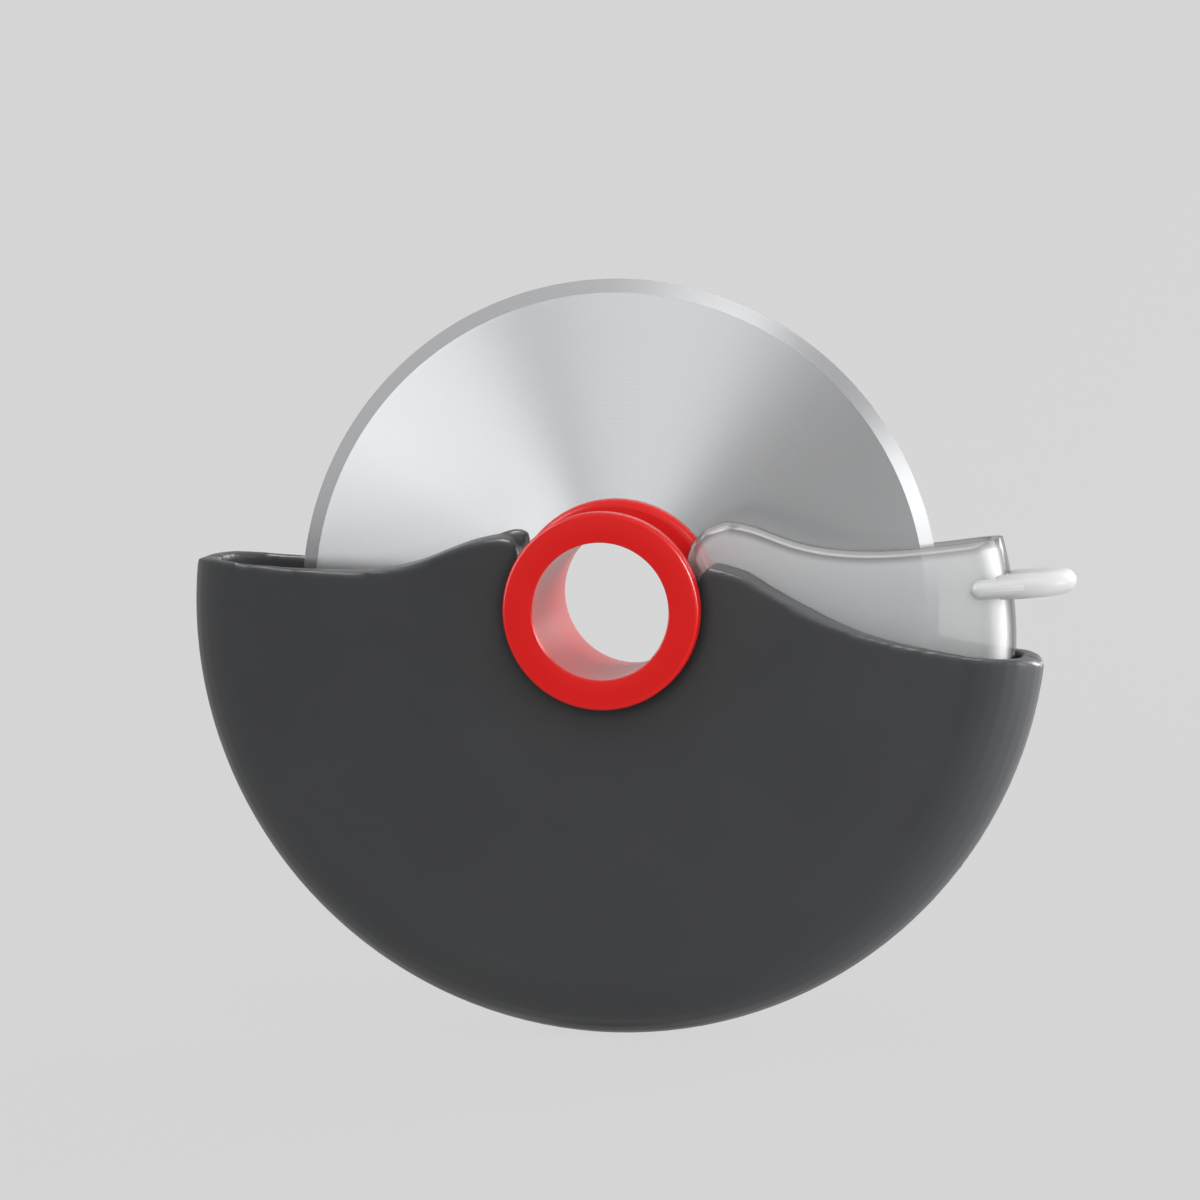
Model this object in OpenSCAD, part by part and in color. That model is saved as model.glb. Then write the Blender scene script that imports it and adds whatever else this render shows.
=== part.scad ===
// Palm pizza wheel: a disc blade on a hollow hub, a half-disc grip around it, and a clear guard
// that swings about the hub. The origin is on the hub's axis, in the blade's middle plane.
// +X is to the right, +Y goes away from the front ring, and +Z points up, away from the palm.

/* [Blade] */
// Radius of the blade
blade_r = 40; // [34:0.5:42]
// Thickness of the blade
blade_t = 1; // [0.8:0.1:1.4]
// Width of the ground bevel
bevel_w = 1.7; // [1:0.1:3]
// Thickness left at the cutting edge
edge_t = 0.3; // [0.2:0.05:0.5]

/* [Hub] */
// Radius of the hole through the hub
hub_bore_r = 8.4; // [7:0.1:8.6]
// Wall of the barrel that runs in the saddles
barrel_wall = 1.3; // [1.1:0.1:1.8]
// Length of the whole hub
hub_len = 28; // [27:0.5:32]
// How far the outer rings stand over the barrel
ring_lip = 2.4; // [1.6:0.1:3]
// Thickness of each outer ring
ring_t = 2.7; // [2:0.1:2.8]
// How far the inner flanges stand over the barrel
flange_lip = 3.2; // [3:0.1:5]
// Thickness of each inner flange
flange_t = 2.5; // [2:0.1:2.6]
// How much the rear half's hole opens towards its end
bore_draft = 0.6; // [0.2:0.1:0.8]
// Radius of the rounded edges of rings and flanges
hub_round = 0.5; // [0.3:0.1:0.8]
// Radius of the pins that key the hub halves to the blade
pin_r = 0.9; // [0.6:0.1:1]
// Number of those pins
pin_count = 3; // [2:1:6]

/* [Guard] */
// Outer radius of the guard
guard_r = 49.8; // [46:0.2:50]
// Thickness of the guard over both walls
guard_t = 9.6; // [9.2:0.1:10]
// Wall of the guard
guard_wall = 1.4; // [1:0.1:1.4]
// Radius of its rolled rim
guard_round = 3.6; // [2.5:0.1:4]
// Reach of the slope that breaks its upper edges
guard_break = 0.7; // [0.4:0.1:1]
// How far the open end leans in, as a shift of its own arc
guard_lean = 4.5; // [2:0.1:6]
// Height of the edge's low part over the axis
guard_low = 7; // [5:0.1:7.5]
// Rise of the edge at the nose beside the hub
guard_nose = 3.4; // [1:0.1:3.6]
// Rise of the edge at the outer corner
guard_corner = 1.7; // [0.5:0.1:2.4]
// Angle of the hidden end, past the left side
guard_back_angle = 7; // [2:0.5:12]

/* [Tab] */
// How far the tab stands out past the guard
tab_reach = 7; // [4:0.2:9]
// Half width of the tab
tab_half_w = 6; // [5.6:0.1:7.5]
// Thickness of the tab
tab_t = 3; // [2.6:0.1:4.5]
// Thickness of the arms that hold the guard
arm_t = 2.4; // [1.8:0.1:2.6]
// Length of those arms along the guard's walls
arm_len = 5.4; // [3:0.2:8]
// Height of the tab over the axis
tab_z = 3; // [1:0.1:4]
// How far the tab's tip is tilted up, in degrees
tab_tilt = 5; // [0:1:10]

/* [Housing] */
// Wall at the seam, outside the pocket
seam_wall = 2.8; // [2.6:0.1:4]
// How far the outer shape hangs under the pocket's middle
housing_drop = 0.6; // [0:0.1:1]
// Wall at the rim and on the faces
housing_wall = 2; // [1.4:0.1:2.4]
// Radius of the rounding towards the seam
housing_round = 9; // [7:0.5:11]
// Height of the left rim over the axis
rim_left = 4.2; // [2:0.1:6]
// Height of the left bump beside the hub
bump_left = 8.8; // [7:0.1:9.4]
// Depth of the right rim under the axis
rim_right = 5.8; // [4:0.1:8]
// Height of the right bump beside the hub
bump_right = 5.4; // [4:0.1:7]
// Thickness of the collar inside each left bump
collar_t = 1.8; // [1:0.1:3]
// How far that collar stands over the bump
collar_rise = 0.5; // [0.2:0.1:1]
// Reach of the slopes that roll the rim over towards the faces
rim_roll = 3.6; // [2:0.2:4]
// Wall of the bearing saddles
saddle_wall = 1.6; // [1.2:0.1:1.7]
// Angle that the saddles grip past half a turn, on each side
saddle_grip = 20; // [8:1:24]
// Width of the tongue along the seam
tongue_w = 0.8; // [0.6:0.1:1]
// Depth of the tongue
tongue_d = 1; // [0.6:0.1:1.4]

/* [Fits] */
// Clearance of what turns on the barrel
run_fit = 0.08; // [0.04:0.01:0.1]
// Clearance of what is pushed or pressed together
seat_fit = 0.05; // [0.02:0.01:0.1]
// Gap between pieces that move past each other
gap = 0.35; // [0.3:0.05:0.5]

/* [Hidden] */
$fn = 96;
over = 1;
steps = 8;
barrel_r = hub_bore_r + barrel_wall;
ring_r = barrel_r + ring_lip;
flange_r = barrel_r + flange_lip;
hub_half = hub_len/2;
blade_half = blade_t/2;
flange_face = blade_half + flange_t;
// The pilot on the front half passes through the blade into the rear half
pilot_r = barrel_r - seat_fit;
pilot_end = blade_half + flange_t*0.6;
pin_ring_r = (barrel_r + flange_r)/2;
pin_depth = flange_t*0.7;
guard_half = guard_t/2;
eye_r = barrel_r + run_fit;
saddle_face = guard_half + gap;
saddle_out_r = barrel_r + run_fit + saddle_wall;
notch_r = saddle_out_r + seat_fit;
cavity_r = guard_r + 2*gap;
housing_r = cavity_r + seam_wall;
// The rings run just clear of the housing's faces
housing_half = hub_half - ring_t - gap;
// The housing's faces fall towards the rim by this much, so the mouth is narrower there
face_fall = housing_half*0.14;
bump_left_x = notch_r*1.12;
bump_right_x = notch_r*1.21;
rim_end_x = housing_r - housing_wall*1.65;

// Points of an arc about [cx, cy]
function arc(cx, cy, r, from, to, n = steps) =
    [for (i = [0:n]) let (a = from + (to - from)*i/n) [cx + r*cos(a), cy + r*sin(a)]];

// A smooth curve through hand-set points, with n spans between each two
function spline(p, n = 4) = concat(
    [for (i = [0:len(p) - 2], k = [0:n - 1])
        let (a = p[max(i - 1, 0)], b = p[i], c = p[i + 1], d = p[min(i + 2, len(p) - 1)], t = k/n)
        0.5*(2*b + t*(c - a) + t*t*(2*a - 5*b + 4*c - d) + t*t*t*(3*b - a - 3*c + d))],
    [p[len(p) - 1]]);

// Turned about the hub's axis: profile points are [radius, distance towards the front]
module turned() rotate([90, 0, 0]) rotate_extrude() children();

// Cut along the hub's axis from an outline of [X, Z] points, over a depth to each side
module along_axis(points, depth)
    rotate([90, 0, 0]) linear_extrude(height = 2*depth, center = true) polygon(points);

// The same piece behind the blade
module mirrored_back() mirror([0, 1, 0]) children();

// The blade is a flat disc with a bevel ground on both sides
module blade() color([0.78, 0.79, 0.80]) difference() {
    turned() polygon([
        [pilot_r + seat_fit, -blade_half], [blade_r - bevel_w, -blade_half], [blade_r, -edge_t/2],
        [blade_r, edge_t/2], [blade_r - bevel_w, blade_half], [pilot_r + seat_fit, blade_half]]);
    pins(seat_fit, blade_half + over);
}

// Round pins through both flanges and the blade
module pins(fit, half) for (i = [0:pin_count - 1])
    rotate([0, 90 + i*360/pin_count, 0]) translate([pin_ring_r, 0, 0])
        rotate([90, 0, 0]) cylinder(r = pin_r + fit, h = 2*half, center = true);

// Section of the outer ring, the barrel and the inner flange, from the blade to the end face
function hub_section(inner_low, inner_end) = concat(
    [[inner_low, blade_half], [flange_r - hub_round, blade_half]],
    arc(flange_r - hub_round, blade_half + hub_round, hub_round, -90, 0),
    arc(flange_r - 2*hub_round, flange_face - 2*hub_round, 2*hub_round, 0, 90),
    [[barrel_r, flange_face], [barrel_r, hub_half - ring_t]],
    arc(ring_r - hub_round, hub_half - ring_t + hub_round, hub_round, -90, 0),
    arc(ring_r - hub_round, hub_half - hub_round, hub_round, 0, 90),
    arc(inner_end + hub_round/2, hub_half - hub_round/2, hub_round/2, 90, 180, 4));

module hub_front() color([0.80, 0.12, 0.11]) difference() {
    union() {
        turned() polygon(hub_section(hub_bore_r, hub_bore_r));
        turned() polygon([[hub_bore_r, -pilot_end], [pilot_r, -pilot_end],
                          [pilot_r, blade_half], [hub_bore_r, blade_half]]);
    }
    pins(seat_fit, blade_half + pin_depth);
}

module hub_back() color([0.80, 0.12, 0.11]) difference() {
    mirrored_back() turned() polygon(hub_section(hub_bore_r, hub_bore_r + bore_draft));
    turned() polygon([[0, -pilot_end - seat_fit], [pilot_r + seat_fit, -pilot_end - seat_fit],
                      [pilot_r + seat_fit, 0], [0, 0]]);
    pins(seat_fit, blade_half + pin_depth);
}

module hub_pins() color([0.72, 0.73, 0.75]) pins(0, blade_half + pin_depth - seat_fit);

// A half-round bearing that grips the barrel past its middle, so that the hub snaps into it
module saddle() color([0.20, 0.20, 0.21]) rotate([90, 0, 0]) translate([0, 0, saddle_face])
    rotate([0, 0, 180 - saddle_grip])
        rotate_extrude(angle = 180 + 2*saddle_grip)
            polygon([[eye_r, 0], [saddle_out_r, 0],
                     [saddle_out_r, hub_half - ring_t - saddle_face - gap],
                     [eye_r, hub_half - ring_t - saddle_face - gap]]);
module saddle_front() saddle();
module saddle_back() mirrored_back() saddle();

// Guard: the space it fills, grown or shrunk by an inset, turned about two axes so that its open end leans in
function guard_section(inset) = concat(
    [[0, -guard_half + inset]],
    arc(guard_r - guard_round, -guard_half + guard_round, guard_round - inset, -90, 0),
    arc(guard_r - guard_round, guard_half - guard_round, guard_round - inset, 0, 90),
    [[0, guard_half - inset]]);
lean_shares = [-0.09, -0.996];
module guard_space(inset) intersection() {
    turned() polygon(guard_section(inset));
    translate([lean_shares[0]*guard_lean, 0, lean_shares[1]*guard_lean]) turned() polygon(guard_section(inset));
}

// Its upper edge, from the nose beside the hub to the outer corner: shares of the way out and of the rise
nose_x = eye_r*1.42;
nose_edge_shares = [[0, 1], [0.06, 0.93], [0.125, 0.74], [0.23, 0.34], [0.32, 0.13], [0.4, 0.03], [0.47, 0]];
corner_edge_shares = [[0.55, 0.03], [0.65, 0.2], [0.76, 0.48], [0.87, 0.8], [0.96, 1]];
function guard_edge() = let (span = guard_r - nose_x) spline(concat(
    [for (s = nose_edge_shares) [nose_x + s[0]*span, guard_low + s[1]*guard_nose]],
    [for (s = corner_edge_shares) [nose_x + s[0]*span, guard_low + s[1]*guard_corner]]), 2);
// The nose curls down beside the hub: shares of the eye's radius
nose_shares = [[1.03, 0.2], [1.06, 0.37], [0.99, 0.5], [0.96, 0.61], [0.985, 0.72], [1.07, 0.86], [1.22, 0.99]];
function guard_outline(depth) = concat(
    arc(0, 0, eye_r*0.8, 180 - saddle_grip, 360, 12),
    spline([for (s = nose_shares) [s[0]*eye_r, s[1]*eye_r]], 3),
    guard_edge(),
    [[guard_r - guard_round/6, guard_low + guard_corner*0.72], [guard_r + over, guard_low - over],
     [guard_r + over, -depth], [-guard_r - over, -depth],
     [-guard_r - over, -guard_r*sin(guard_back_angle)], [-eye_r*1.5, -eye_r*0.1],
     [-eye_r*1.22, eye_r*0.22]]);

// The upper edges fall towards each face in a slope, made by a sheared cut on either side
break_slope = 1.1;
module guard_breaks() intersection_for(side = [-1, 1])
    multmatrix([[1, 0, 0, 0], [0, 1, 0, 0],
                [0, side*break_slope, 1, break_slope*(guard_half - guard_break)], [0, 0, 0, 1]])
        along_axis(guard_outline(2*guard_r), guard_half + over);

module guard_shell() color([0.86, 0.87, 0.88, 0.45]) difference() {
    intersection() {
        guard_space(0);
        along_axis(guard_outline(guard_r + over), guard_half + over);
        guard_breaks();
    }
    guard_space(guard_wall);
    turned() polygon([[0, -guard_half - over], [eye_r, -guard_half - over], [eye_r, guard_half + over],
                      [0, guard_half + over]]);
    tab_stud(seat_fit);
}

// The stud that holds the tab in the guard's rim
module tab_stud(fit) translate([guard_r - guard_round, 0, tab_z]) rotate([0, 90, 0])
    cylinder(r = tab_t/4 + fit, h = guard_round + tab_reach/2);

// A round paddle with two arms that lie along the guard's walls
module guard_tab() color([0.92, 0.92, 0.91, 0.9]) union() {
    difference() {
        translate([guard_r + tab_reach - tab_half_w, 0, tab_z]) rotate([0, -tab_tilt, 0]) {
            rotate_extrude() polygon(concat([[0, -tab_t/2]],
                arc(tab_half_w - tab_t/2, 0, tab_t/2, -90, 90, 12), [[0, tab_t/2]]));
            for (side = [-1, 1]) translate([0, side*(tab_half_w - arm_t/2), 0]) {
                rotate([0, -90, 0]) cylinder(r = arm_t/2, h = arm_len);
                translate([-arm_len, 0, 0]) sphere(r = arm_t/2);
            }
        }
        guard_space(-seat_fit);
    }
    intersection() {
        tab_stud(0);
        translate([guard_r - guard_wall, -tab_t, 0]) cube([guard_wall + tab_reach/2, 2*tab_t, 2*tab_z + tab_t]);
    }
}

// Housing section, from the middle out to the seam
function housing_section() = let (side_y = housing_half - face_fall) concat(
    [[0, 0], [0, housing_half]],
    spline([[notch_r*1.3, housing_half], [housing_r*0.5, housing_half - face_fall*0.25],
            [housing_r*0.72, housing_half - face_fall*0.8], [housing_r - housing_round, side_y - face_fall*0.3]], 3),
    [for (i = [1:steps]) let (a = 90 - 90*i/steps)
        [housing_r - housing_round + housing_round*cos(a),
         (side_y - face_fall*0.3)*pow(sin(a), 0.8)]]);

// The pocket inside: narrow between the saddles, wider where the mouth opens, round at the seam
pocket_half = housing_half - face_fall - housing_wall;
function pocket_section() = concat(
    [[0, -over], [0, saddle_face], [cavity_r*0.47, saddle_face]],
    spline([[cavity_r*0.5, saddle_face], [cavity_r*0.56, (saddle_face + pocket_half)/2],
            [cavity_r*0.63, pocket_half]], 4),
    arc(cavity_r - pocket_half*0.8, pocket_half*0.2, pocket_half*0.8, 90, 0),
    [[cavity_r, -over]]);

// The rim from the bump to the end, as shares of the way out and of the rise
left_rim_shares = [[1, 0.2], [0.84, 0.09], [0.67, 0.02], [0.52, 0], [0.44, 0.035], [0.35, 0.145], [0.275, 0.31],
                   [0.2, 0.56], [0.12, 0.81], [0.05, 0.95], [0, 1]];
right_rim_shares = [[0, 1], [0.085, 0.92], [0.14, 0.815], [0.24, 0.63], [0.34, 0.47], [0.44, 0.34], [0.55, 0.23],
                    [0.65, 0.155], [0.75, 0.095], [0.85, 0.04], [0.96, 0.005], [1, 0]];
function left_rim() = spline([for (s = left_rim_shares)
    [-bump_left_x - s[0]*(rim_end_x - bump_left_x), rim_left + s[1]*(bump_left - rim_left)]], 2);
function right_rim() = spline([for (s = right_rim_shares)
    [bump_right_x + s[0]*(rim_end_x - bump_right_x), s[1]*(bump_right + rim_right) - rim_right]], 2);
// The corners at both ends of the rim, rounded by the wall
function left_corner() = [[-housing_r - over, rim_left - housing_wall*0.3],
    [-housing_r + housing_wall*0.1, rim_left + housing_wall*0.12],
    [-housing_r + housing_wall*0.3, rim_left + housing_wall*0.32],
    [-housing_r + housing_wall*0.7, rim_left + housing_wall*0.43]];
function right_corner() = [[housing_r - housing_wall*0.8, -rim_right - housing_wall*0.12],
    [housing_r - housing_wall*0.3, -rim_right - housing_wall*0.45], [housing_r + over, -rim_right - housing_wall*1.4]];
function housing_outline(depth) = concat(left_corner(), left_rim(), right_rim(), right_corner(),
    [[housing_r + over, -depth], [-housing_r - over, -depth]]);
// The notch for the hub, whose sides rise to the bumps and round over into them
module notch() {
    rotate([90, 0, 0]) cylinder(r = notch_r, h = 4*housing_half, center = true);
    along_axis([[notch_r, 0], [notch_r, bump_right*0.6],
                [notch_r + (bump_right_x - notch_r)*0.12, bump_right*0.79],
                [notch_r + (bump_right_x - notch_r)*0.5, bump_right*0.95],
                [bump_right_x, bump_right + over], [bump_right_x, 2*bump_left],
                [-bump_left_x, 2*bump_left], [-bump_left_x, bump_left + over],
                [-notch_r*1.05, bump_left*0.98], [-notch_r*0.985, bump_left*0.92],
                [-notch_r*0.945, bump_left*0.83], [-notch_r*0.93, bump_left*0.7],
                [-notch_r*0.93, 0]],
               2*housing_half);
}

// The rim is rolled over towards the face in two slopes, the steeper of which starts further out
roll_shares = [[0.65, 0.14], [0.14, 1.1]];
module rolled(points) intersection_for (s = roll_shares) {
    start = housing_half - s[0]*rim_roll;
    rotate([90, 0, 0]) multmatrix([[1, 0, 0, 0], [0, 1, -s[1], s[1]*start], [0, 0, 1, 0], [0, 0, 0, 1]])
        linear_extrude(height = 4*housing_half, center = true) polygon(points);
}

// A thin collar inside the left bump reaches nearer to the barrel than the bump does, and a little higher
collar_x = barrel_r + gap;
collar_shares = [[1, -0.6], [0.8, 0.3], [0.6, 0.8], [0.42, 1], [0.24, 0.9], [0.1, 0.5], [0.02, -0.3], [0, -1.4]];
module collar() let (reach = bump_left_x*1.1 - collar_x)
    translate([0, -saddle_face, 0]) rotate([90, 0, 0]) linear_extrude(height = collar_t) difference() {
        polygon(concat(
            spline([for (s = collar_shares) [-collar_x - s[0]*reach, bump_left + s[1]*collar_rise]], 3),
            [[-collar_x, bump_left*0.4], [-collar_x - reach, bump_left*0.4]]));
        circle(r = notch_r);
    }

module housing_half_shell() union() {
    difference() {
        intersection() {
            translate([0, 0, -housing_drop]) turned() polygon(housing_section());
            along_axis(housing_outline(housing_r + housing_drop + over), housing_half + over);
            rolled(housing_outline(3*housing_r));
        }
        turned() polygon(pocket_section());
        notch();
    }
    collar();
}

tongue_r = (cavity_r + housing_r)/2;
module tongue(fit) intersection() {
    turned() polygon([[tongue_r - tongue_w/2 - fit, -tongue_d - fit], [tongue_r + tongue_w/2 + fit, -tongue_d - fit],
                      [tongue_r + tongue_w/2 + fit, tongue_d], [tongue_r - tongue_w/2 - fit, tongue_d]]);
    translate([-housing_r, -housing_half, -housing_r - over])
        cube([2*housing_r, 2*housing_half, housing_r + over - rim_right - housing_wall + fit]);
}

module housing_front() color([0.25, 0.25, 0.26]) union() {
    housing_half_shell();
    tongue(0);
}
module housing_back() color([0.25, 0.25, 0.26]) difference() {
    mirrored_back() housing_half_shell();
    tongue(seat_fit);
}

housing_front();
housing_back();
saddle_front();
saddle_back();
blade();
hub_front();
hub_back();
hub_pins();
guard_shell();
guard_tab();
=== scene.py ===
import math

import bmesh
import bpy
from mathutils import Matrix, Vector


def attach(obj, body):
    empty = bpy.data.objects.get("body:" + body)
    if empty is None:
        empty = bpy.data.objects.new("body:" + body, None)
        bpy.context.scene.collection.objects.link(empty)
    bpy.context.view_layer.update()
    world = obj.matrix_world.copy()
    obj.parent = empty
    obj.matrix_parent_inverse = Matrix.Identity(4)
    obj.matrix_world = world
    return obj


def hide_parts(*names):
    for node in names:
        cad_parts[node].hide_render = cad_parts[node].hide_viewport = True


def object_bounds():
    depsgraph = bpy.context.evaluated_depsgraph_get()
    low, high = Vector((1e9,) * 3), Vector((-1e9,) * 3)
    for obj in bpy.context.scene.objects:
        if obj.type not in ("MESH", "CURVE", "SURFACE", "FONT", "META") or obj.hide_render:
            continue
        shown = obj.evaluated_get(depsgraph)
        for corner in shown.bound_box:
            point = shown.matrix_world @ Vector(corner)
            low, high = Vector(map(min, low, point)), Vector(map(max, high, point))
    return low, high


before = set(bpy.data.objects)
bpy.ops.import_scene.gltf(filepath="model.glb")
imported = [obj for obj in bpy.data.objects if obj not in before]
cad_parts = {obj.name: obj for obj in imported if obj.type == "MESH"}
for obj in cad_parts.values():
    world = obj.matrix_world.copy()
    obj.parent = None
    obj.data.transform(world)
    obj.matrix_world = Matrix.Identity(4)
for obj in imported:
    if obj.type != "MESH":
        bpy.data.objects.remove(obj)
cad_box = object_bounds()

# The stage: a pale sweep of seamless paper that rises in one wide curve, so no horizon shows.
# The grip stands on it, and a black card on the floor in front shows only in glossy faces.
MM = 0.001
FLOOR_GAP = 0.05 * MM
SWEEP_WIDTH = 4.0
SWEEP_FRONT = 1.5
SWEEP_BACK = 1.6
SWEEP_RADIUS = 0.9
SWEEP_HEIGHT = 2.2
SWEEP_STEPS = 24
PAPER = "D9D9D9"
PAPER_SHOWN = "D4D4D4"
PAPER_GLOW = 0.97
PAPER_ANGLE = 60
FELT = "202020"
FLAG_START = 0.16
FLAG_HALF = 1.0


def linear(hex_colour):
    """An sRGB hex colour as linear RGBA."""
    parts = [int(hex_colour[i : i + 2], 16) / 255 for i in (0, 2, 4)]
    return [p / 12.92 if p <= 0.04045 else ((p + 0.055) / 1.055) ** 2.4 for p in parts] + [1.0]


def add_node(material, kind, settings=None, links=None):
    """Adds a shader node, sets its inputs or properties, and links other nodes' outputs into it."""
    tree = material.node_tree
    node = tree.nodes.new(kind)
    for key, value in (settings or {}).items():
        if isinstance(key, str) and key not in node.inputs:
            setattr(node, key, value)
        else:
            node.inputs[key].default_value = value
    for key, output in (links or {}).items():
        tree.links.new(output, node.inputs[key])
    return node


def new_material(name):
    """A material with an empty node tree and its output node."""
    material = bpy.data.materials.new(name)
    material.use_nodes = True
    material.node_tree.nodes.clear()
    return material, material.node_tree.nodes.new("ShaderNodeOutputMaterial")


def mesh_object(name, bm, material=None, smooth_angle=None):
    """Turns a bmesh into an object at the origin, smooth where its faces meet at less than an angle."""
    mesh = bpy.data.meshes.new(name)
    bm.to_mesh(mesh)
    bm.free()
    piece = bpy.data.objects.new(name, mesh)
    bpy.context.scene.collection.objects.link(piece)
    if material:
        mesh.materials.append(material)
    if smooth_angle is not None:
        mesh.shade_smooth()
        mesh.set_sharp_from_angle(angle=math.radians(smooth_angle))
    return piece


paper, paper_out = new_material("seamless_paper")
paper_lit = add_node(paper, "ShaderNodeBsdfDiffuse", {"Color": linear(PAPER)})
paper_flat = add_node(paper, "ShaderNodeEmission", {"Color": linear(PAPER_SHOWN), "Strength": 1.0})
paper_seen = add_node(
    paper, "ShaderNodeMixShader", {0: PAPER_GLOW}, {1: paper_lit.outputs[0], 2: paper_flat.outputs[0]}
)
paper.node_tree.links.new(paper_seen.outputs[0], paper_out.inputs["Surface"])

floor_z = cad_box[0][2] - FLOOR_GAP
section = [(-SWEEP_FRONT, floor_z)]
for i in range(SWEEP_STEPS + 1):
    turn = math.radians(90 * i / SWEEP_STEPS)
    back = SWEEP_BACK - SWEEP_RADIUS + SWEEP_RADIUS * math.sin(turn)
    section.append((back, floor_z + SWEEP_RADIUS * (1 - math.cos(turn))))
section.append((SWEEP_BACK, floor_z + SWEEP_HEIGHT))
sweep = bmesh.new()
line = [sweep.verts.new((-SWEEP_WIDTH, y, z)) for y, z in section]
edges = [sweep.edges.new(pair) for pair in zip(line, line[1:])]
swept = bmesh.ops.extrude_edge_only(sweep, edges=edges)["geom"]
far_side = [v for v in swept if isinstance(v, bmesh.types.BMVert)]
bmesh.ops.translate(sweep, verts=far_side, vec=(2 * SWEEP_WIDTH, 0, 0))
bmesh.ops.recalc_face_normals(sweep, faces=sweep.faces)
backdrop = mesh_object("backdrop", sweep, paper, PAPER_ANGLE)

black, black_out = new_material("black_felt")
felt = add_node(black, "ShaderNodeBsdfDiffuse", {"Color": linear(FELT)})
black.node_tree.links.new(felt.outputs[0], black_out.inputs["Surface"])
flag_mesh = bmesh.new()
corners = [
    (-FLAG_HALF, -FLAG_START),
    (-FLAG_HALF, -SWEEP_FRONT),
    (FLAG_HALF, -SWEEP_FRONT),
    (FLAG_HALF, -FLAG_START),
]
flag_mesh.faces.new([flag_mesh.verts.new((x, y, floor_z + MM)) for x, y in corners])
flag = mesh_object("floor_flag", flag_mesh, black)
flag.visible_camera = False
flag.visible_diffuse = False
flag.visible_shadow = False

# The blade: a stamped disc of stainless kitchen steel, 80 mm across and 1 mm thick.
# Its faces are brushed while it turns, so the grain runs in circles and spreads every light into two fans.
# The bevel is ground afterwards, to a smoother face.
BLADE_R = 40.0
BLADE_T = 1.0
BLADE_HOLE = 9.7
BEVEL_W = 1.7
EDGE_T = 0.3
SPIN_STEPS = 256
SPIN_WELD = 1e-7
BEVEL_ANGLE = 6
STEEL = "F3F4F5"
STEEL_DARK = "E2E3E5"
GROUND_STEEL = "D4D5D7"
GRAIN_MM = 0.12


def turned(profile):
    """A solid turned about the hub's axis from a closed list of (radius, distance to the front) in mm."""
    bm = bmesh.new()
    ring = [bm.verts.new((r * MM, -f * MM, 0)) for r, f in profile]
    edges = [bm.edges.new((a, b)) for a, b in zip(ring, ring[1:] + ring[:1])]
    bmesh.ops.spin(
        bm,
        geom=ring + edges,
        cent=(0, 0, 0),
        axis=(0, 1, 0),
        angle=math.tau,
        steps=SPIN_STEPS,
        use_merge=True,
    )
    bmesh.ops.remove_doubles(bm, verts=bm.verts, dist=SPIN_WELD)
    bmesh.ops.recalc_face_normals(bm, faces=bm.faces)
    return bm


def arc(r, f, radius, start, end, steps=6):
    """Points of an arc about (r, f)."""
    turns = [math.radians(start + (end - start) * i / steps) for i in range(steps + 1)]
    return [(r + radius * math.cos(t), f + radius * math.sin(t)) for t in turns]


def grain_bump(material, grain_mm, strength, depth_mm):
    """The normal of a finely grained surface, from noise in the piece's own space."""
    place = add_node(material, "ShaderNodeTexCoord")
    noise = add_node(
        material, "ShaderNodeTexNoise", {"Scale": 1 / (grain_mm * MM)}, {"Vector": place.outputs["Object"]}
    )
    bump = add_node(
        material,
        "ShaderNodeBump",
        {"Strength": strength, "Distance": depth_mm * MM},
        {"Height": noise.outputs["Fac"]},
    )
    return bump.outputs[0]


steel, steel_out = new_material("brushed_stainless_steel")
place = add_node(steel, "ShaderNodeTexCoord")
axes = add_node(steel, "ShaderNodeSeparateXYZ", {}, {0: place.outputs["Object"]})
flat = add_node(steel, "ShaderNodeCombineXYZ", {}, {0: axes.outputs["X"], 1: axes.outputs["Z"]})
radius = add_node(steel, "ShaderNodeVectorMath", {"operation": "LENGTH"}, {0: flat.outputs[0]})
grain = add_node(
    steel,
    "ShaderNodeTexNoise",
    {"noise_dimensions": "1D", "Scale": 1 / (GRAIN_MM * MM), "Detail": 3.0, "Roughness": 0.6},
    {"W": radius.outputs["Value"]},
)
tone = add_node(steel, "ShaderNodeMix", {"data_type": "RGBA"}, {"Factor": grain.outputs["Fac"]})
tone.inputs[6].default_value = linear(STEEL_DARK)
tone.inputs[7].default_value = linear(STEEL)
lines = add_node(
    steel, "ShaderNodeBump", {"Strength": 0.12, "Distance": 0.02 * MM}, {"Height": grain.outputs["Fac"]}
)
tangent = add_node(steel, "ShaderNodeTangent", {"direction_type": "RADIAL", "axis": "Y"})
steel_body = add_node(
    steel,
    "ShaderNodeBsdfPrincipled",
    {"Metallic": 1.0, "Roughness": 0.5, "Anisotropic": 0.95, "Anisotropic Rotation": 0.25},
    {"Base Color": tone.outputs[2], "Normal": lines.outputs[0], "Tangent": tangent.outputs[0]},
)
steel.node_tree.links.new(steel_body.outputs[0], steel_out.inputs["Surface"])

ground, ground_out = new_material("ground_stainless_steel")
ground_body = add_node(
    ground,
    "ShaderNodeBsdfPrincipled",
    {"Base Color": linear(GROUND_STEEL), "Metallic": 1.0, "Roughness": 0.2},
    {"Normal": grain_bump(ground, grain_mm=0.6, strength=0.03, depth_mm=0.02)},
)
ground.node_tree.links.new(ground_body.outputs[0], ground_out.inputs["Surface"])

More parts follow.
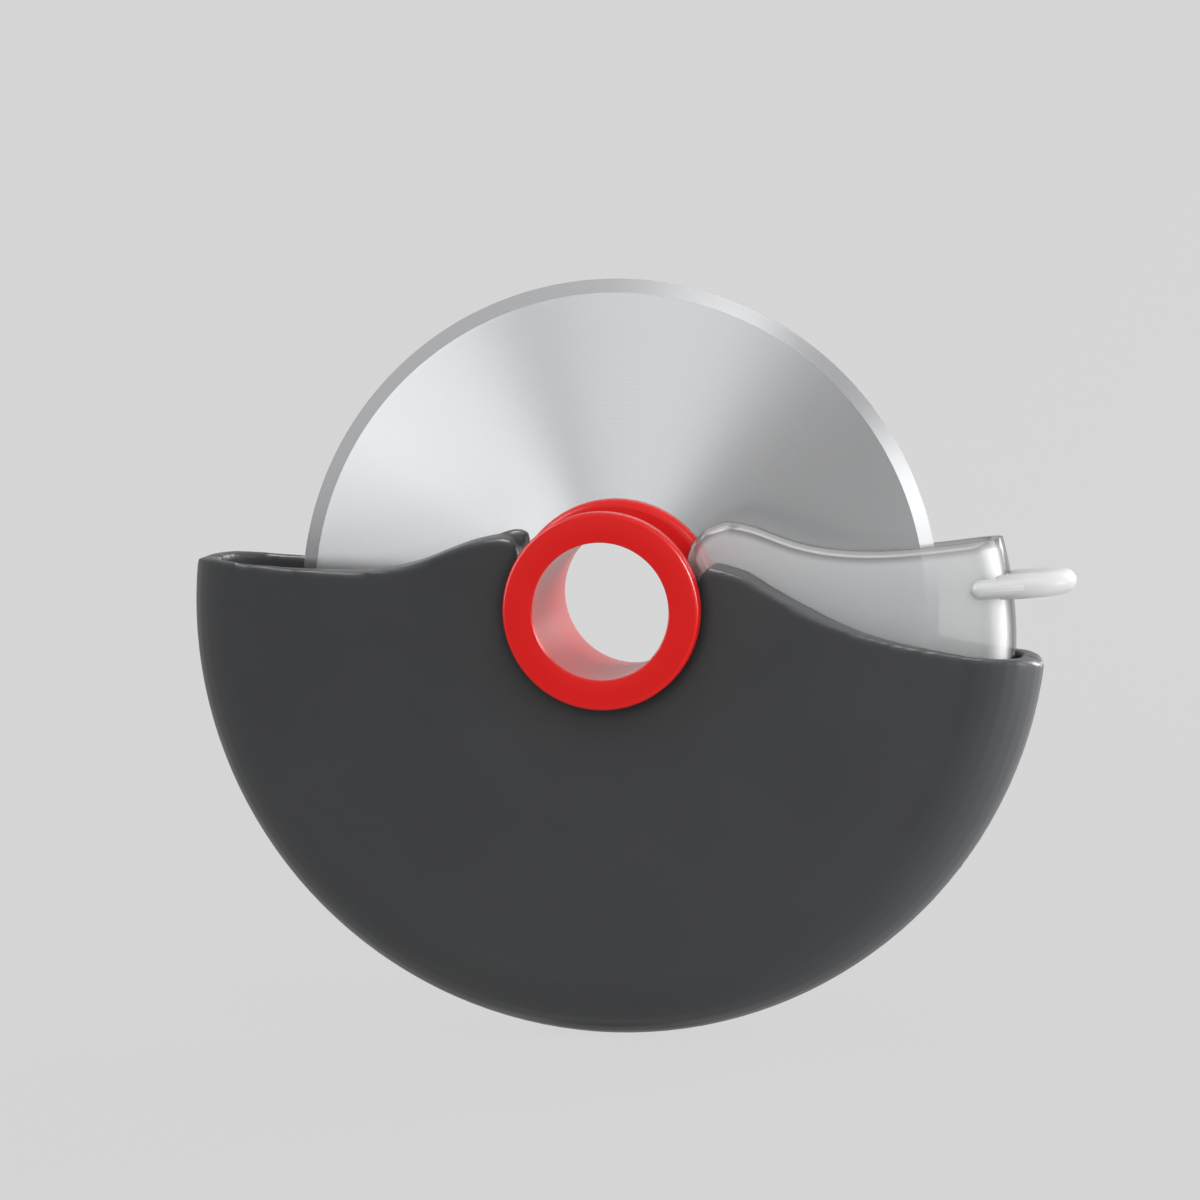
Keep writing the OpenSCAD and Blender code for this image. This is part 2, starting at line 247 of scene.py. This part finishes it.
half = BLADE_T / 2
disc = turned(
    [
        (BLADE_HOLE, half),
        (BLADE_R - BEVEL_W, half),
        (BLADE_R, EDGE_T / 2),
        (BLADE_R, -EDGE_T / 2),
        (BLADE_R - BEVEL_W, -half),
        (BLADE_HOLE, -half),
    ]
)
blade = mesh_object("blade_disc", disc, steel, BEVEL_ANGLE)
blade.data.materials.append(ground)
for face in blade.data.polygons:
    face.material_index = int(math.hypot(face.center.x, face.center.z) > (BLADE_R - BEVEL_W) * MM)
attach(blade, "wheel")
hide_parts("blade")

# The hub: two red gloss mouldings, each a ring, a barrel and a flange turned in one.
# They clamp the blade between them and leave an open tube through the middle.
BORE_R = 8.4
BARREL_R = 9.7
RING_R = 12.1
RING_T = 2.7
FLANGE_R = 12.9
FLANGE_T = 2.5
HUB_HALF = 14.0
BORE_DRAFT = 0.6
HUB_ROUND = 0.5
HUB_ANGLE = 32
FLANGE_STEPS = 10
DRAFT_STEPS = 10
SEAT_FIT = 0.02
PILOT_END = 2.0
RED = "CE100E"

red, red_out = new_material("red_gloss_abs")
red_body = add_node(
    red,
    "ShaderNodeBsdfPrincipled",
    {"Base Color": linear(RED), "Roughness": 0.27, "IOR": 1.36},
    {"Normal": grain_bump(red, grain_mm=6, strength=0.05, depth_mm=0.05)},
)
red.node_tree.links.new(red_body.outputs[0], red_out.inputs["Surface"])


def hub_profile(tube, draft):
    """The closed section of a hub half, from its tube by the blade to the ring and back along the bore."""
    flange_end = half + FLANGE_T
    ring_start = HUB_HALF - RING_T
    return (
        tube
        + arc(FLANGE_R - HUB_ROUND / 2, half + HUB_ROUND / 2, HUB_ROUND / 2, -90, 0)
        + arc(FLANGE_R - 2 * HUB_ROUND, flange_end - 2 * HUB_ROUND, 2 * HUB_ROUND, 0, 90, FLANGE_STEPS)
        + [(BARREL_R, flange_end), (BARREL_R, ring_start)]
        + arc(RING_R - HUB_ROUND, ring_start + HUB_ROUND, HUB_ROUND, -90, 0)
        + arc(RING_R - HUB_ROUND, HUB_HALF - HUB_ROUND, HUB_ROUND, 0, 90)
        + arc(BORE_R + draft + HUB_ROUND / 2, HUB_HALF - HUB_ROUND / 2, HUB_ROUND / 2, 90, 180)
        + [
            (BORE_R + draft * s * s, PILOT_END + (HUB_HALF - HUB_ROUND / 2 - PILOT_END) * s)
            for s in [1 - i / DRAFT_STEPS for i in range(1, DRAFT_STEPS)]
        ]
    )


pilot_r = BARREL_R - 2 * SEAT_FIT
socket_r = BARREL_R - SEAT_FIT
socket_end = PILOT_END + SEAT_FIT
pilot = [(BORE_R, -PILOT_END), (pilot_r, -PILOT_END), (pilot_r, half)]
socket = [(BORE_R, socket_end), (socket_r, socket_end), (socket_r, half)]
hubs = []
for name, side, tube, draft in (("hub_front", 1, pilot, 0.0), ("hub_back", -1, socket, BORE_DRAFT)):
    bm = turned([(r, f * side) for r, f in hub_profile(tube, draft)])
    half_hub = mesh_object(name + "_moulding", bm, red, HUB_ANGLE)
    half_hub.visible_glossy = False
    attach(half_hub, "wheel")
    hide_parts(name)
    hubs.append(half_hub)

# The key pins: three drawn steel pins that lock both hub halves to the blade.
# They are sunk in the flanges and out of sight.
DRAWN_STEEL = "B9BBBF"

pin_steel, pin_out = new_material("drawn_steel")
pin_body = add_node(
    pin_steel,
    "ShaderNodeBsdfPrincipled",
    {"Base Color": linear(DRAWN_STEEL), "Metallic": 1.0, "Roughness": 0.3},
    {"Normal": grain_bump(pin_steel, grain_mm=0.3, strength=0.1, depth_mm=0.02)},
)
pin_steel.node_tree.links.new(pin_body.outputs[0], pin_out.inputs["Surface"])
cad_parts["hub_pins"].data.materials.clear()
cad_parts["hub_pins"].data.materials.append(pin_steel)

# The grip: two charcoal shells moulded in satin plastic and welded along the middle.
# Every rim is rolled over softly, and the two walls swell beside the hub into the bumps that hold it.
# Where the plastic meets another piece it is darker: this is painted shade, from ambient occlusion, put into
# its colour.
CHARCOAL = "353638"
CHARCOAL_WORN = "393A3B"
# Painted shade: the near-black the grip's colour turns to next to another surface, and how far in mm that
# darkening reaches.
CHARCOAL_PAINTED_SHADE = "161617"
PAINTED_SHADE_MM = 2.6
CLOUD_MM = 14
TEXTURE_MM = 0.35
CAD_WELD = 1e-6
SHELL_VOXEL = 0.37
SHELL_SMOOTH = 2
SHELL_ANGLE = 50
SEAM_KEEP = 0.55

charcoal, charcoal_out = new_material("satin_charcoal_plastic")
shell_place = add_node(charcoal, "ShaderNodeTexCoord")
spark = add_node(
    charcoal,
    "ShaderNodeTexNoise",
    {"Scale": 1 / (TEXTURE_MM * MM), "Detail": 3.0, "Roughness": 0.6},
    {"Vector": shell_place.outputs["Object"]},
)
cloud = add_node(
    charcoal,
    "ShaderNodeTexNoise",
    {"Scale": 1 / (CLOUD_MM * MM), "Detail": 3.0},
    {"Vector": shell_place.outputs["Object"]},
)
shell_tone = add_node(charcoal, "ShaderNodeMix", {"data_type": "RGBA"}, {"Factor": cloud.outputs["Fac"]})
shell_tone.inputs[6].default_value = linear(CHARCOAL)
shell_tone.inputs[7].default_value = linear(CHARCOAL_WORN)
# Painted shade: ambient occlusion mixes the base colour towards the dark corner colour wherever another
# surface is near.
shell_shade_reach = add_node(charcoal, "ShaderNodeAmbientOcclusion", {"samples": 12, "Distance": PAINTED_SHADE_MM * MM})
shell_unshaded = add_node(
    charcoal, "ShaderNodeMapRange", {"From Min": 0.5, "From Max": 0.85}, {"Value": shell_shade_reach.outputs["AO"]}
)
shell_shade = add_node(
    charcoal, "ShaderNodeMix", {"data_type": "RGBA"}, {0: shell_unshaded.outputs[0], 7: shell_tone.outputs[2]}
)
shell_shade.inputs[6].default_value = linear(CHARCOAL_PAINTED_SHADE)
shell_rough = add_node(
    charcoal,
    "ShaderNodeMapRange",
    {"From Min": 0.3, "From Max": 0.7, "To Min": 0.36, "To Max": 0.44},
    {"Value": cloud.outputs["Fac"]},
)
shell_bump = add_node(
    charcoal, "ShaderNodeBump", {"Strength": 0.18, "Distance": 0.04 * MM}, {"Height": spark.outputs["Fac"]}
)
shell_body = add_node(
    charcoal,
    "ShaderNodeBsdfPrincipled",
    {"Specular IOR Level": 0.3},
    {
        "Base Color": shell_shade.outputs[2],
        "Roughness": shell_rough.outputs[0],
        "Normal": shell_bump.outputs[0],
    },
)
charcoal.node_tree.links.new(shell_body.outputs[0], charcoal_out.inputs["Surface"])


def merged_copy(node):
    """A CAD node's triangles joined into one closed bmesh."""
    bm = bmesh.new()
    bm.from_mesh(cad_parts[node].data)
    bmesh.ops.remove_doubles(bm, verts=bm.verts, dist=CAD_WELD)
    return bm


def remeshed(name, bm):
    """The same solid in even quads, as a bmesh."""
    rough = mesh_object(name + "_rough", bm)
    voxels = rough.modifiers.new("voxels", "REMESH")
    voxels.mode = "VOXEL"
    voxels.voxel_size = SHELL_VOXEL * MM
    even = bmesh.new()
    even.from_object(rough, bpy.context.evaluated_depsgraph_get())
    bpy.data.objects.remove(rough)
    return even


shells = []
for name in ("housing_front", "housing_back"):
    bm = remeshed(name, merged_copy(name))
    soft = [v for v in bm.verts if abs(v.co.y) > SEAM_KEEP * MM]
    for _ in range(SHELL_SMOOTH):
        bmesh.ops.smooth_vert(
            bm, verts=soft, factor=0.5, use_axis_x=True, use_axis_y=True, use_axis_z=True
        )
    shell = mesh_object(name + "_shell", bm, charcoal, SHELL_ANGLE)
    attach(shell, "housing")
    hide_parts(name)
    shells.append(shell)

# The saddles: half rings of dark acetal that the hub's barrel snaps into.
# They are moulded and pushed into the grip's notch.
ACETAL = "303133"
LINER_EDGE = 0.2
LINER_ANGLE = 32

acetal, acetal_out = new_material("dark_acetal")
acetal_body = add_node(
    acetal,
    "ShaderNodeBsdfPrincipled",
    {"Base Color": linear(ACETAL), "Roughness": 0.35, "IOR": 1.48},
    {"Normal": grain_bump(acetal, grain_mm=0.8, strength=0.1, depth_mm=0.03)},
)
acetal.node_tree.links.new(acetal_body.outputs[0], acetal_out.inputs["Surface"])
for name in ("saddle_front", "saddle_back"):
    liner = mesh_object(name + "_liner", merged_copy(name), acetal, LINER_ANGLE)
    rounding = liner.modifiers.new("edges", "BEVEL")
    rounding.width = LINER_EDGE * MM
    rounding.segments = 2
    rounding.limit_method = "ANGLE"
    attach(liner, "housing")
    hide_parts(name)

# The guard: one clear moulding of two walls joined by a rolled rim, which swings about the hub.
# It is polished polycarbonate, faintly grey, so its walls veil the blade.
# Its colour has painted shade and highlight: its edges are darker, and the slope along its top and the roll
# at its right are painted lighter than its flat face, by how squarely each turns to the view.
EDGE_ROUND = 0.2
EDGE_DEPTH = 1.2
GUARD_ANGLE = 20
FLATS_FIRST = 100
OPEN_TINT = "FCFCFC"
# The plastic's faint grey on the flat, with painted highlight (white on the slope and roll) and painted
# shade (dark at grazing edges), by how squarely the surface faces the view.
VEIL_TINT_AND_PAINTED_LIGHT = (
    (0.0, "CFD0D1"),
    (0.014, "D3D4D5"),
    (0.035, "E4E5E6"),
    (0.08, "F2F3F4"),
    (0.14, "FFFFFF"),
    (0.28, "FFFFFF"),
    (0.31, "F0F1F2"),
    (0.37, "C4C5C6"),
    (0.48, "8A8B8C"),
    (0.62, "444547"),
    (1.0, "202123"),
)
VEIL_SHARES = ((0.0, 0.6), (0.03, 0.62), (0.17, 0.85), (0.3, 0.85), (0.45, 0.75), (0.85, 0.75), (1.0, 0.95))
# Painted shade: the guard's colour darkens near its edges, where the inside ambient occlusion falls.
EDGE_PAINTED_SHADE = ((0.42, 0.16), (0.5, 0.3), (0.75, 0.34), (0.85, 0.42), (0.92, 0.45), (0.96, 0.65), (0.99, 1.0))


def ramp(material, stops, factor):
    """A colour ramp of (place, sRGB hex colour or grey share) stops."""
    node = add_node(material, "ShaderNodeValToRGB", {}, {"Fac": factor})
    for i, (place, tone) in enumerate(stops):
        stop = node.color_ramp.elements[i] if i < 2 else node.color_ramp.elements.new(place)
        stop.position = place
        stop.color = linear(tone) if isinstance(tone, str) else (tone, tone, tone, 1)
    return node.outputs["Color"]


clear, clear_out = new_material("clear_polycarbonate")
clear_edges = add_node(clear, "ShaderNodeBevel", {"samples": 6, "Radius": EDGE_ROUND * MM})
clear_turn = add_node(clear, "ShaderNodeLayerWeight", {"Blend": 0.5}, {"Normal": clear_edges.outputs[0]})
clear_depth = add_node(
    clear,
    "ShaderNodeAmbientOcclusion",
    {"samples": 24, "inside": True, "only_local": True, "Distance": EDGE_DEPTH * MM},
)
# Painted highlight and shade: the veil's colour is the facing ramp times the edge-darkening ramp.
clear_tone = add_node(clear, "ShaderNodeMix", {"data_type": "RGBA", "blend_type": "MULTIPLY", "Factor": 1.0})
clear.node_tree.links.new(ramp(clear, VEIL_TINT_AND_PAINTED_LIGHT, clear_turn.outputs["Facing"]), clear_tone.inputs[6])
clear.node_tree.links.new(ramp(clear, EDGE_PAINTED_SHADE, clear_depth.outputs["AO"]), clear_tone.inputs[7])
clear_body = add_node(
    clear,
    "ShaderNodeBsdfPrincipled",
    {"Roughness": 0.2, "IOR": 1.5, "Specular IOR Level": 0.15},
    {"Base Color": clear_tone.outputs[2], "Normal": clear_edges.outputs[0]},
)
clear_side = add_node(clear, "ShaderNodeNewGeometry")
clear_share = add_node(
    clear,
    "ShaderNodeMath",
    {"operation": "MULTIPLY_ADD", 1: -1.0},
    {0: clear_side.outputs["Backfacing"], 2: ramp(clear, VEIL_SHARES, clear_turn.outputs["Facing"])},
)
clear_share.use_clamp = True
clear_open = add_node(clear, "ShaderNodeBsdfTransparent", {"Color": linear(OPEN_TINT)})
clear_mix = add_node(
    clear,
    "ShaderNodeMixShader",
    {},
    {0: clear_share.outputs[0], 1: clear_open.outputs[0], 2: clear_body.outputs[0]},
)
clear.node_tree.links.new(clear_mix.outputs[0], clear_out.inputs["Surface"])
guard = mesh_object("guard_clear", merged_copy("guard_shell"), clear, GUARD_ANGLE)
face_on = guard.modifiers.new("face_on", "WEIGHTED_NORMAL")
face_on.weight = FLATS_FIRST
face_on.keep_sharp = True
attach(guard, "guard")
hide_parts("guard_shell")

# The finger tab: a moulded paddle of milky polypropylene that clips round the guard's open end.
# A little light passes through it and scatters inside.
MILK = "D4D5D6"
MILK_THROUGH = 0.18
TAB_ANGLE = 32

milk, milk_out = new_material("milky_polypropylene")
milk_body = add_node(
    milk,
    "ShaderNodeBsdfPrincipled",
    {
        "Base Color": linear(MILK),
        "Roughness": 0.3,
        "IOR": 1.49,
        "Subsurface Weight": 0.15,
        "Subsurface Scale": 2 * MM,
    },
    {"Normal": grain_bump(milk, grain_mm=1.5, strength=0.08, depth_mm=0.04)},
)
milk_open = add_node(milk, "ShaderNodeBsdfTransparent")
milk_mix = add_node(
    milk, "ShaderNodeMixShader", {0: MILK_THROUGH}, {1: milk_body.outputs[0], 2: milk_open.outputs[0]}
)
milk.node_tree.links.new(milk_mix.outputs[0], milk_out.inputs["Surface"])
tab = mesh_object("finger_tab", merged_copy("guard_tab"), milk, TAB_ANGLE)
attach(tab, "guard")
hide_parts("guard_tab")

# The camera: a long lens to the right of the hub's axis and a little above it.
# It is shifted so that the hub's axis falls on its place in the picture, in pixels.
AZIMUTH = 9.3
ELEVATION = 5.3
DISTANCE = 0.650
PIXELS_PER_MM = 8.06
FRAME_PIXELS = 1200
HUB_PIXEL = (618.0, 601.4)
SENSOR_MM = 36.0
CLIP_END = 20

az, el = math.radians(AZIMUTH), math.radians(ELEVATION)
towards = Vector((math.sin(az) * math.cos(el), -math.cos(az) * math.cos(el), math.sin(el)))
right = Vector((math.cos(az), math.sin(az), 0))
up = towards.cross(right)
camera_data = bpy.data.cameras.new("camera")
camera_data.sensor_width = SENSOR_MM
camera_data.lens = SENSOR_MM * DISTANCE / (FRAME_PIXELS / PIXELS_PER_MM * MM)
camera_data.clip_end = CLIP_END
camera = bpy.data.objects.new("camera", camera_data)
bpy.context.scene.collection.objects.link(camera)
aim = (
    right * ((FRAME_PIXELS / 2 - HUB_PIXEL[0]) / PIXELS_PER_MM * MM)
    + up * ((HUB_PIXEL[1] - FRAME_PIXELS / 2) / PIXELS_PER_MM * MM)
)
turned_to_hub = Matrix((right, up, towards)).transposed().to_4x4()
camera.matrix_world = Matrix.Translation(aim + towards * DISTANCE) @ turned_to_hub
bpy.context.scene.camera = camera

# The lamps: soft boxes on the left draw the blade's fan and leave the grip out, which has lamps of its own.
# Fills on the right and one behind the wheel model the plastic, edge the rims and shine into the hub.
# The surround is even for matt faces, and for glossy ones a wash that is brightest high on the left.
LAMPS = {
    "left_key": ((-0.95, -0.45, 0.72), 0.75, 12.0, "glossy", ("grip", "EXCLUDE")),
    "left_low": ((-1.1, -0.42, 0.1), 0.7, 10.0, "glossy", ("grip", "EXCLUDE")),
    "top": ((0.0, -0.7, 1.0), 1.0, 6.5, "glossy", ("hub", "EXCLUDE")),
    "rim_light": ((-0.06, -0.12, 1.1), 0.22, 22.0, "glossy", ("grip", "INCLUDE")),
    "ring_light": ((0.9, -0.35, 0.4), 0.35, 26.0, "glossy", ("hub", "INCLUDE")),
    "front_card": ((-0.02, -1.15, 0.33), 0.22, 0.25, "glossy", None),
    "right_fill": ((0.38, -1.15, 0.0), 0.4, 0.8, "all", None),
    "right_strip": ((1.1, -0.05, 0.05), 0.35, 6.0, "all", None),
    "right_high": ((0.6, -0.8, 0.9), 0.7, 3.0, "matt", None),
    "grip_side": ((1.0, 0.14, 0.0), 0.4, 29.0, "matt", ("grip", "INCLUDE")),
    "back": ((0.75, 0.95, 0.35), 0.5, 14.0, "all", None),
}
WASH_TOWARDS = (-0.5, -0.1, 0.85)
WASH_START = -0.5
WASH_END = 0.9
WASH_LOW = 0.1
WASH_HIGH = 0.7
AMBIENT = 1.1

groups = {"grip": shells, "hub": hubs}
for name, (spot, size, watts, faces, linking) in LAMPS.items():
    data = bpy.data.lights.new(name, "AREA")
    data.shape = "SQUARE"
    data.size = size
    data.energy = watts
    lamp = bpy.data.objects.new(name, data)
    bpy.context.scene.collection.objects.link(lamp)
    lamp.location = spot
    lamp.rotation_euler = Vector(spot).to_track_quat("Z", "Y").to_euler()
    lamp.visible_diffuse = faces != "glossy"
    lamp.visible_glossy = faces != "matt"
    if linking:
        group, state = linking
        named = bpy.data.collections.new(name + "_pieces")
        for piece in groups[group]:
            named.objects.link(piece)
        for entry in named.collection_objects:
            entry.light_linking.link_state = state
        lamp.light_linking.receiver_collection = named

world = bpy.data.worlds.new("surround")
world.use_nodes = True
sky = world.node_tree
surround = sky.nodes["Background"]
surround.inputs["Color"].default_value = linear("FFFFFF")
sky_place = sky.nodes.new("ShaderNodeTexCoord")
sky_side = sky.nodes.new("ShaderNodeVectorMath")
sky_side.operation = "DOT_PRODUCT"
sky_side.inputs[1].default_value = Vector(WASH_TOWARDS).normalized()
sky_fall = sky.nodes.new("ShaderNodeMapRange")
wash = {"From Min": WASH_START, "From Max": WASH_END, "To Min": WASH_LOW, "To Max": WASH_HIGH}
for key, value in wash.items():
    sky_fall.inputs[key].default_value = value
sky.links.new(sky_place.outputs["Generated"], sky_side.inputs[0])
sky.links.new(sky_side.outputs["Value"], sky_fall.inputs["Value"])
sky_path = sky.nodes.new("ShaderNodeLightPath")
sky_pick = sky.nodes.new("ShaderNodeMix")
sky_pick.inputs["B"].default_value = AMBIENT
sky.links.new(sky_path.outputs["Is Diffuse Ray"], sky_pick.inputs["Factor"])
sky.links.new(sky_fall.outputs[0], sky_pick.inputs["A"])
sky.links.new(sky_pick.outputs[0], surround.inputs["Strength"])
bpy.context.scene.world = world
bpy.context.scene.view_settings.view_transform = "Standard"
